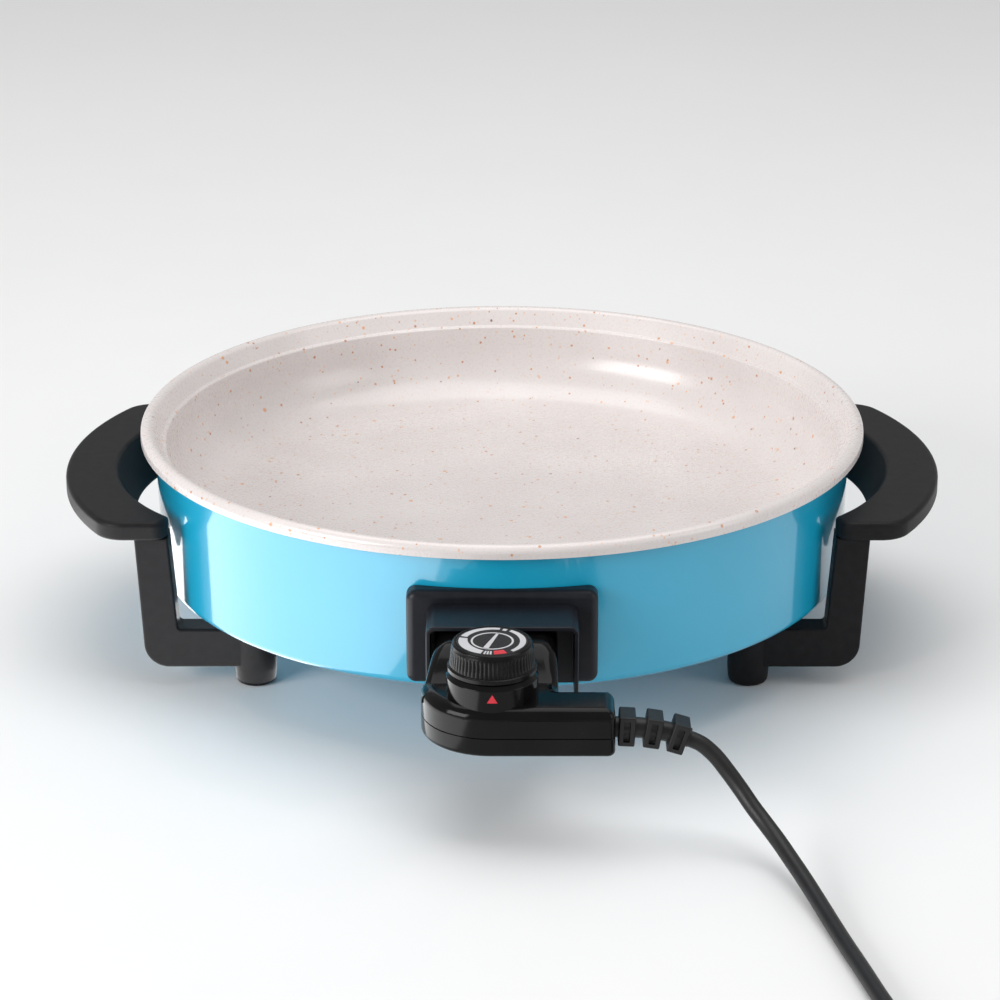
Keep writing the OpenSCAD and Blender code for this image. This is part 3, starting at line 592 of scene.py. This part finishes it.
def outer_shell(looks):
    """The painted shell, with the inlet's window and a ring of vent holes in its floor."""
    bend, t = 4 * MM, SHELL_T
    c = SHELL_LOW_R - bend
    outside = [(0, SHELL_H0)] + [(c * k / 8, SHELL_H0) for k in range(1, 8)]
    outside += arc(c, SHELL_H0 + bend, bend, -90, 0, 14) + [(SHELL_TOP_R, SHELL_H1)]
    inside = [(SHELL_TOP_R - t, SHELL_H1)] + arc(c, SHELL_H0 + bend, bend - t, 0, -90, 14)
    inside += [(c * k / 8, SHELL_H0 + t) for k in range(7, 0, -1)] + [(0, SHELL_H0 + t)]
    shell = revolve("painted_shell", outside + inside)
    window = inlet_window("window")
    vents, vent_r, ring_r, depth = [], 3 * MM, 60 * MM, 3 * MM
    for i in range(12):
        a = math.radians(30 * i)
        hole = [(0, -depth), (vent_r, -depth), (vent_r, depth), (0, depth)]
        vents.append(revolve(f"vent_{i}", hole,
                             (ring_r * math.cos(a), ring_r * math.sin(a), SHELL_H0), 32))
    combine(shell, [window, *vents], "DIFFERENCE")
    finish_piece(shell, "pan", looks["shell_paint"], ("outer_shell",))


# ---------------------------------------------------------------- handles and legs
HANDLE_T = 9.3 * MM


def wall_line(low, high):
    """The profile of the room that the shell takes up."""
    return [(0, low), (TOUCH_R, low), (TOUCH_R, high), (0, high)]


def handle_outline():
    """The left handle seen from above: an outer and an inner arc, round corners and two short arms."""
    reach, half = -handle_low.x, handle_high.y
    r_out, r_in, rho = 155 * MM, 110 * MM, 16 * MM
    out_x, in_x = reach - r_out, reach - 26 * MM - r_in
    arm_end, end_r = -handle_high.x, 8 * MM
    cy = half - rho
    far = r_out - rho
    cx = math.sqrt(far * far - cy * cy)
    lean = math.degrees(math.atan2(cy, cx))
    turn_in = math.degrees(math.acos((arm_end - in_x) / r_in))
    corners = [(-arm_end, -half, end_r)]
    corners += [(*p, 0) for p in arc(-out_x - cx, -cy, rho, -90, -180 + lean, 10)]
    corners += [(*p, 0) for p in arc(-out_x, 0, r_out, 180 + lean, 180 - lean, 56)[1:-1]]
    corners += [(*p, 0) for p in arc(-out_x - cx, cy, rho, 180 - lean, 90, 10)]
    corners += [(-arm_end, half, end_r)]
    inner = arc(-in_x, 0, r_in, 180 - turn_in, 180 + turn_in, 48)
    corners += [(*inner[0], 1.2 * MM)] + [(*p, 0) for p in inner[1:-1]] + [(*inner[-1], 1.2 * MM)]
    return corners, (out_x, in_x, r_out, r_in)


def handle(looks, name, side):
    """A half-moon grip, hollow from below, with a skirt that leans in along its inner edge."""
    outline, (out_x, in_x, r_out, r_in) = handle_outline()
    top, skirt_low = handle_high.z, handle_low.z
    under = top - HANDLE_T
    grip = prism(name, outline, under, top, 1.6 * MM, 2.5 * MM, steps=6, turn=10)
    wall, grip_half = 3.4 * MM, 64 * MM
    end_out = math.degrees(math.asin(grip_half / (r_out - wall)))
    end_in = math.degrees(math.asin(grip_half / (r_in + wall)))
    hollow = arc(-out_x, 0, r_out - wall, 180 + end_out, 180 - end_out, 40)
    hollow += arc(-in_x, 0, r_in + wall, 180 - end_in, 180 + end_in, 40)
    room = prism("hollow", hollow, under - 5 * MM, top - 3.2 * MM, 0, 1.2 * MM, steps=3)
    combine(grip, [room], "DIFFERENCE")
    thick, lean, edge_r = 3 * MM, 9 * MM, 1.2 * MM
    section = rounded([(r_in + 0.4 * MM, top - 1.0 * MM, 0), (r_in + thick, top - 1.2 * MM, 0),
                       (r_in + thick - lean, skirt_low, edge_r), (r_in - lean, skirt_low, edge_r)],
                      steps=4)
    half_turn = math.degrees(math.asin(grip_half / (r_in - 2 * MM)))
    loops = []
    for k in range(57):
        a = math.radians(180 - half_turn + 2 * half_turn * k / 56)
        loops.append([(-in_x + r * math.cos(a), r * math.sin(a), z) for r, z in section])
    skirt = loft("skirt", loops)
    cutter = revolve("wall_cutter", wall_line(skirt_low - 5 * MM, top + 5 * MM))
    combine(skirt, [cutter], "DIFFERENCE")
    combine(grip, [skirt], "UNION")
    if side > 0:
        grip.data.transform(Matrix.Scale(-1, 4, (1, 0, 0)))
        tidy_mesh(grip, 35)
    node = "handle_right" if side > 0 else "handle_left"
    finish_piece(grip, "pan", looks["bakelite"], (node,))


def leg(looks, name, side, end):
    """An L-shaped leg with its round foot. Its peg goes up into the handle."""
    foot_x, foot_y = MOUNTS["feet"][0], MOUNTS["feet"][1]
    under = handle_high.z - HANDLE_T
    half_t, arm_low, arm_high, edge_r = 7.4 * MM, 9.7 * MM, 29.7 * MM, 1.3 * MM
    outline = [(foot_x, arm_low, 0), (-173.6 * MM, arm_low, 12 * MM), (-177.4 * MM, under, 0),
               (-161 * MM, under, 0), (-157.5 * MM, arm_high, 2.0 * MM), (foot_x, arm_high, 0)]
    shape = prism(name, outline, foot_y - half_t, foot_y + half_t, edge_r, edge_r, axis="Y",
                  steps=5, turn=12)
    peg_half = 4.4 * MM
    peg = block("peg", (-175 * MM, foot_y - peg_half, under - 2 * MM),
                (-168 * MM, foot_y + peg_half, leg_high.z), 0.5 * MM)
    r = 10.15 * MM
    foot_line = rounded([(0, 0, 0), (r - 0.6 * MM, 0, 2.6 * MM), (r, 8 * MM, 4 * MM),
                         (r, SHELL_H0, 0.3 * MM), (0, SHELL_H0, 0)], closed=False, steps=6)
    foot = revolve("foot", foot_line, (foot_x, foot_y, 0), 72)
    combine(shape, [peg, foot], "UNION")
    mirror = (-1.0 if side > 0 else 1.0, -1.0 if end > 0 else 1.0, 1.0, 1.0)
    shape.data.transform(Matrix.Diagonal(mirror))
    tidy_mesh(shape, 35)
    finish_piece(shape, "pan", looks["bakelite"], (name.replace("moulded_", ""),))


# ---------------------------------------------------------------- the inlet shroud
def shroud(looks):
    """The bezel against the shell, with a hood round the opening for the controller's neck."""
    half, low, high, face = shroud_high.x, shroud_low.z, shroud_high.z, -0.177
    front, inside = shroud_low.y, -0.150
    outline = [(-half, low, 4.5 * MM), (half, low, 4.5 * MM),
               (half, high, 5 * MM), (-half, high, 5 * MM)]
    bezel = prism("shroud_moulding", outline, face, inside, 3.6 * MM, 0, axis="Y", steps=8, turn=8)
    hood_half, hood_top, t = 34.5 * MM, 81.8 * MM, 1.8 * MM
    hood_outline = [(-hood_half, low, 0.9 * MM), (hood_half, low, 0.9 * MM),
                    (hood_half, hood_top, 4 * MM), (-hood_half, hood_top, 4 * MM)]
    hood = prism("hood", hood_outline, front, inside, 0.7 * MM, 0, axis="Y", steps=3, turn=8)
    combine(bezel, [hood], "UNION")
    opening = [(t - hood_half, 0.01, 0), (hood_half - t, 0.01, 0),
               (hood_half - t, hood_top - t, 2.4 * MM), (t - hood_half, hood_top - t, 2.4 * MM)]
    combine(bezel, [prism("opening", opening, front - 5 * MM, -0.1755, axis="Y")], "DIFFERENCE")
    cutters = [inlet_window("way_through"), revolve("wall_cutter", wall_line(0.02, 0.12))]
    combine(bezel, cutters, "DIFFERENCE")
    finish_piece(bezel, "pan", looks["shroud"], ("inlet_shroud",))


# ---------------------------------------------------------------- the controller
NECK_FRONT, NECK_LEFT, NECK_RIGHT = base_high.y, -30.8 * MM, 25 * MM
BODY_LEFT, BODY_RIGHT = base_low.x, base_high.x
BODY_FRONT, BODY_BACK = base_low.y, -0.236
SPLIT, BODY_TOP, NECK_TOP = base_high.z, 66.2 * MM, cover_high.z
SPLIT_GAP = 0.12 * MM
KNOB_X, KNOB_Y = (knob_low.x + knob_high.x) / 2, (knob_low.y + knob_high.y) / 2
KNOB_R = (knob_high.x - knob_low.x) / 2
PLATFORM_R = KNOB_R + 0.5 * MM


def controller_outline(d=0.0, front=NECK_FRONT):
    """The controller seen from above, moved inwards by d, with a large corner at its left front."""
    corner, small = 31 * MM, 3.4 * MM
    return [(NECK_LEFT + d, front, 0), (NECK_LEFT + d, -0.206, 30 * MM),
            (BODY_LEFT + d, BODY_FRONT + corner + 2 * MM, 0),
            (BODY_LEFT + d, BODY_FRONT + d, corner - d),
            (BODY_RIGHT - d, BODY_FRONT + d, small - d / 2),
            (BODY_RIGHT - d, BODY_BACK - d, small - d / 2),
            (NECK_RIGHT - d, BODY_BACK - d, 0.6 * MM), (NECK_RIGHT - d, front, 0)]


def neck_section(y, left, right, low, top, r):
    """The neck's outline across, seen from the front, with round shoulders."""
    flat = [(left, low), (right, low)] + arc(right - r, top - r, r, 0, 90, 8)
    flat += arc(left + r, top - r, r, 90, 180, 8)
    return [(x, y, z) for x, z in flat]


def neck(name, d, front, low):
    """The raised neck: level inside the hood, then falling to the body in front of it."""
    loops, count, end, clear = [], 30, -0.238, 0.03 * MM
    right = NECK_RIGHT - d - clear
    for k in range(count + 1):
        y = front + (end - front) * k / count
        fall = ease((-0.211 - y) / 0.024)
        top = NECK_TOP - d - (NECK_TOP - BODY_TOP + 1 * MM) * fall
        widen = ease((-0.204 - y) / 0.034)
        left = NECK_LEFT + (BODY_LEFT - NECK_LEFT + 0.4 * MM) * widen + d + clear
        shoulder = (8 - 3.5 * fall) * MM - d * 0.6
        loops.append(neck_section(y, left, right, low, top, shoulder))
    return loft(name, loops)


def controller(looks):
    """Two hollow shells with a fine gap between them. The upper one has the knob's platform."""
    gloss = looks["controller_gloss"]
    wall, seam_r = 2.2 * MM, 0.25 * MM
    room_front = NECK_FRONT + 2 * MM
    outline, hollow = controller_outline(), controller_outline(wall, room_front)
    lower = prism("controller_lower", outline, base_low.z, SPLIT - SPLIT_GAP, 2.4 * MM, seam_r,
                  turn=12)
    low_room = prism("low_room", hollow, base_low.z + wall, 0.06, 1 * MM, 0)
    combine(lower, [low_room], "DIFFERENCE")
    finish_piece(lower, "controller", gloss, ("controller_base",))
    upper = prism("controller_upper", outline, SPLIT + SPLIT_GAP, BODY_TOP, seam_r, 5.4 * MM,
                  steps=10, turn=12)
    combine(upper, [neck("raised_neck", 0, NECK_FRONT, 0.060)], "UNION")
    r, foot = PLATFORM_R, 0.0635
    top = knob_low.z - 0.6 * MM
    dish = top - 1.1 * MM
    edge = rounded([(0, foot, 0), (r, foot, 0), (r, top - 2.1 * MM, 0.7 * MM),
                    (r - 1.7 * MM, top, 0.6 * MM), (r - 2.3 * MM, top, 0.2 * MM),
                    (r - 2.8 * MM, dish, 0.2 * MM), (0, dish, 0)], closed=False, steps=4)
    combine(upper, [revolve("platform", edge, (KNOB_X, KNOB_Y, 0), 128)], "UNION")
    combine(upper, [prism("up_room", hollow, 0.05, BODY_TOP - wall, 0, 1 * MM)], "DIFFERENCE")
    combine(upper, [neck("neck_room", wall, room_front, 0.050)], "DIFFERENCE")
    finish_piece(upper, "controller", gloss, ("controller_cover",))


def arrowhead(looks):
    """The red mark printed on the front of the platform, as a thin curved patch."""
    low, high, half = 69.3 * MM, 73.2 * MM, 2.3 * MM
    rows, n, m = [], 8, 7
    for out in (PLATFORM_R - 0.1 * MM, PLATFORM_R + 0.07 * MM):
        for k in range(n + 1):
            z = low + (high - low) * k / n
            w = half * (1 - k / n) + 0.02 * MM
            rows.append([(KNOB_X + out * math.sin(x / out), KNOB_Y - out * math.cos(x / out), z)
                         for x in [w * (2 * j / (m - 1) - 1) for j in range(m)]])
    points = [p for row in rows for p in row]
    faces, off = [], m * (n + 1)
    for i in range(n):
        for j in range(m - 1):
            q = (i * m + j, i * m + j + 1, (i + 1) * m + j + 1, (i + 1) * m + j)
            faces += [q, tuple(off + v for v in q[::-1])]
        for j in (0, m - 1):
            faces.append((i * m + j, (i + 1) * m + j, off + (i + 1) * m + j, off + i * m + j))
    for i in (0, n):
        for j in range(m - 1):
            faces.append((i * m + j, i * m + j + 1, off + i * m + j + 1, off + i * m + j))
    mark = tidy_mesh(build("red_arrowhead", points, faces))
    finish_piece(mark, "controller", looks["pointer_red"], ("pointer_mark",))


def bend_relief(looks):
    """Three slotted blocks on a soft core that droops with the lead's weight."""
    exit_y, around = -0.248, 32
    path = spline([(BODY_RIGHT - 1 * MM, exit_y, 0.053), (0.058, exit_y, 0.0528),
                   (0.066, exit_y, 0.0520), (0.074, exit_y, 0.0504), (0.0825, exit_y, 0.0478)], 5)
    loops = []
    for i, p in enumerate(path):
        ahead = (path[min(i + 1, len(path) - 1)] - path[max(i - 1, 0)]).normalized()
        up = Vector((0, 1, 0)).cross(ahead).normalized() * -1
        across = ahead.cross(up)
        r = 4.7 * MM - 0.3 * MM * i / len(path)
        loops.append([p + r * math.cos(a) * across + r * math.sin(a) * up
                      for a in [2 * math.pi * k / around for k in range(around)]])
    core = loft("relief_core", loops)
    parts, half = [], (3.7 * MM, 6.4 * MM, 6.9 * MM)
    slot_out, slot_x, slot_y, slot_z = 6.6 * MM, 1.5 * MM, 2.4 * MM, 4.9 * MM
    for i, (x, z, droop) in enumerate(((54.8, 53.0, 3), (66.4, 52.0, 9), (77.6, 49.4, 17))):
        piece = block(f"relief_block_{i}", [-h for h in half], half, 0.7 * MM)
        slots = [block(f"cut_{s}", (-slot_x, s * slot_out - slot_y, -slot_z),
                       (slot_x, s * slot_out + slot_y, slot_z), 0.4 * MM) for s in (-1, 1)]
        combine(piece, slots, "DIFFERENCE")
        place = Matrix.Translation((x * MM, exit_y, z * MM))
        piece.data.transform(place @ Matrix.Rotation(math.radians(droop), 4, "Y"))
        parts.append(piece)
    combine(core, parts, "UNION")
    return finish_piece(core, "controller", looks["cord_rubber"], ("strain_relief",))


# ---------------------------------------------------------------- the knob and its dial
def knob(looks):
    """A ribbed cap: a plain band at its foot, fine ribs round the side, and a rounded shoulder."""
    z0, z1, r = knob_low.z, knob_high.z, KNOB_R
    rib_r, rib_top_r, top_r = r - 0.9 * MM, r - 1.7 * MM, r - 3.0 * MM
    band, ribs_end, dished = z0 + 2.3 * MM, z1 - 2.4 * MM, z1 - 0.4 * MM
    count, rib_depth = 60, 0.42 * MM
    around = count * 8
    rows = [(r - 2.4 * MM, z0, 0), (r - 0.3 * MM, z0, 0), (r, z0 + 0.3 * MM, 0), (r, band - 0.4 * MM, 0),
            (r - 0.4 * MM, band, 0), (rib_r - 0.1 * MM, band + 0.15 * MM, 0)]
    rows += [(rib_r + (rib_top_r - rib_r) * k / 10, band + (ribs_end - band) * k / 10,
              math.sin(math.pi * k / 10) ** 0.3) for k in range(1, 10)]
    rows += [(rib_top_r - 0.1 * MM, ribs_end, 0)]
    shoulder = rounded([(rib_top_r - 0.15 * MM, ribs_end + 0.1 * MM, 0),
                        (rib_top_r - 0.4 * MM, z1 - 0.6 * MM, 0.8 * MM), (top_r, z1, 0.7 * MM),
                        (top_r - 0.5 * MM, z1, 0.2 * MM), (top_r - 0.8 * MM, dished, 0.2 * MM),
                        (0, dished, 0)], closed=False, steps=5)
    rows += [(a, b, 0) for a, b in shoulder[:-1]]
    loops = []
    for radius, z, depth in rows:
        loop = []
        for k in range(around):
            t = 2 * math.pi * k / around
            out = radius - rib_depth * depth * (0.5 + 0.5 * math.cos(count * t)) ** 2
            loop.append((out * math.cos(t) + KNOB_X, out * math.sin(t) + KNOB_Y, z))
        loops.append(loop)
    cap = loft("knob_moulding", loops)
    finish_piece(cap, "knob", looks["knob_plastic"], ("knob_cap",))


PRINT_T = 0.05 * MM


def flat_band(name, r0, r1, a0, a1, z, steps=48, taper=None):
    """A thin printed band on the dial, between two radii and two angles in degrees."""
    loops = []
    for k in range(steps + 1):
        a = math.radians(a0 + (a1 - a0) * k / steps)
        inner = r0 if taper is None else taper(k / steps)
        loops.append([(KNOB_X + q * math.cos(a), KNOB_Y + q * math.sin(a), h)
                      for q, h in ((inner, z), (r1, z), (r1, z + PRINT_T), (inner, z + PRINT_T))])
    return loft(name, loops)


def join(name, parts):
    """Several separate closed pieces in one object."""
    b = bmesh.new()
    for part in parts:
        b.from_mesh(part.data)
        bpy.data.objects.remove(part)
    mesh = bpy.data.meshes.new(name)
    b.to_mesh(mesh)
    b.free()
    o = bpy.data.objects.new(name, mesh)
    bpy.context.scene.collection.objects.link(o)
    return tidy_mesh(o)


def dial(looks):
    """A black disc with a white heat scale, a ring, a pointer and a red block, all generic."""
    z = knob_high.z - 0.1 * MM
    plate_r, plate_low = KNOB_R - 4.0 * MM, z - 0.4 * MM
    edge = rounded([(0, plate_low, 0), (plate_r, plate_low, 0), (plate_r, z, 0.15 * MM), (0, z, 0)],
                   closed=False, steps=3)
    plate = revolve("dial_disc", edge, (KNOB_X, KNOB_Y, 0), 128)
    finish_piece(plate, "knob", looks["dial_print"], ("dial_plate",))
    outer = 14.9 * MM
    white = [
        flat_band("ring", 8.6 * MM, 9.5 * MM, 0, 359.9, z, steps=96),
        flat_band("arc_top", 12.4 * MM, outer, 158, 76, z, taper=lambda u: (11.9 + 1.1 * u) * MM),
        flat_band("arc_dot", 12.6 * MM, 14.6 * MM, 70, 62, z, steps=6),
        flat_band("arc_right", 12.6 * MM, outer, 55, -52, z,
                  taper=lambda u: (13.0 - 0.8 * math.sin(3.14 * u)) * MM),
        flat_band("arc_left", 10.6 * MM, outer, 165, 250, z,
                  taper=lambda u: (11.2 - 0.7 * math.sin(3.14 * u)) * MM)]
    for i, a in enumerate((254.5, 260, 265.5)):
        white.append(flat_band(f"tick_{i}", 11.4 * MM, outer, a, a + 3.4, z, steps=4))
    lean = math.radians(74)
    along, across = Vector((math.cos(lean), math.sin(lean))), Vector((-math.sin(lean), math.cos(lean)))
    reach, tip_half = 9 * MM, 0.55 * MM
    shape = [along * -reach + across * 1.9 * MM, along * -reach - across * 0.7 * MM,
             along * reach - across * tip_half, along * reach + across * tip_half]
    pointer = [(KNOB_X + p.x, KNOB_Y + p.y) for p in shape]
    white.append(prism("pointer", pointer, z, z + PRINT_T))
    marks = join("dial_scale", white)
    finish_piece(marks, "knob", looks["dial_white"])
    red = flat_band("dial_red", 10.9 * MM, outer, 273, 296, z, steps=12)
    finish_piece(red, "knob", looks["pointer_red"])


# ---------------------------------------------------------------- put together
def dress_frame(looks):
    """Every CAD node that still shows gets its slot's material."""
    slots = {s["node"]: s["material_slot"] for s in frame["record"]["subparts"]}
    for name, node in frame["nodes"].items():
        node.data.materials.clear()
        node.data.materials.append(looks[slots[name]])


looks = make_looks()
look_camera()
studio()
dress_frame(looks)
mains_lead(looks, [plug_shape(looks), bend_relief(looks)])
pan(looks)
outer_shell(looks)
handle(looks, "moulded_handle_left", -1)
handle(looks, "moulded_handle_right", 1)
for depth, end in (("front", -1), ("rear", 1)):
    for width, side in (("left", -1), ("right", 1)):
        leg(looks, f"moulded_leg_{depth}_{width}", side, end)
shroud(looks)
controller(looks)
arrowhead(looks)
knob(looks)
dial(looks)
bpy.context.scene.view_settings.view_transform = "Standard"
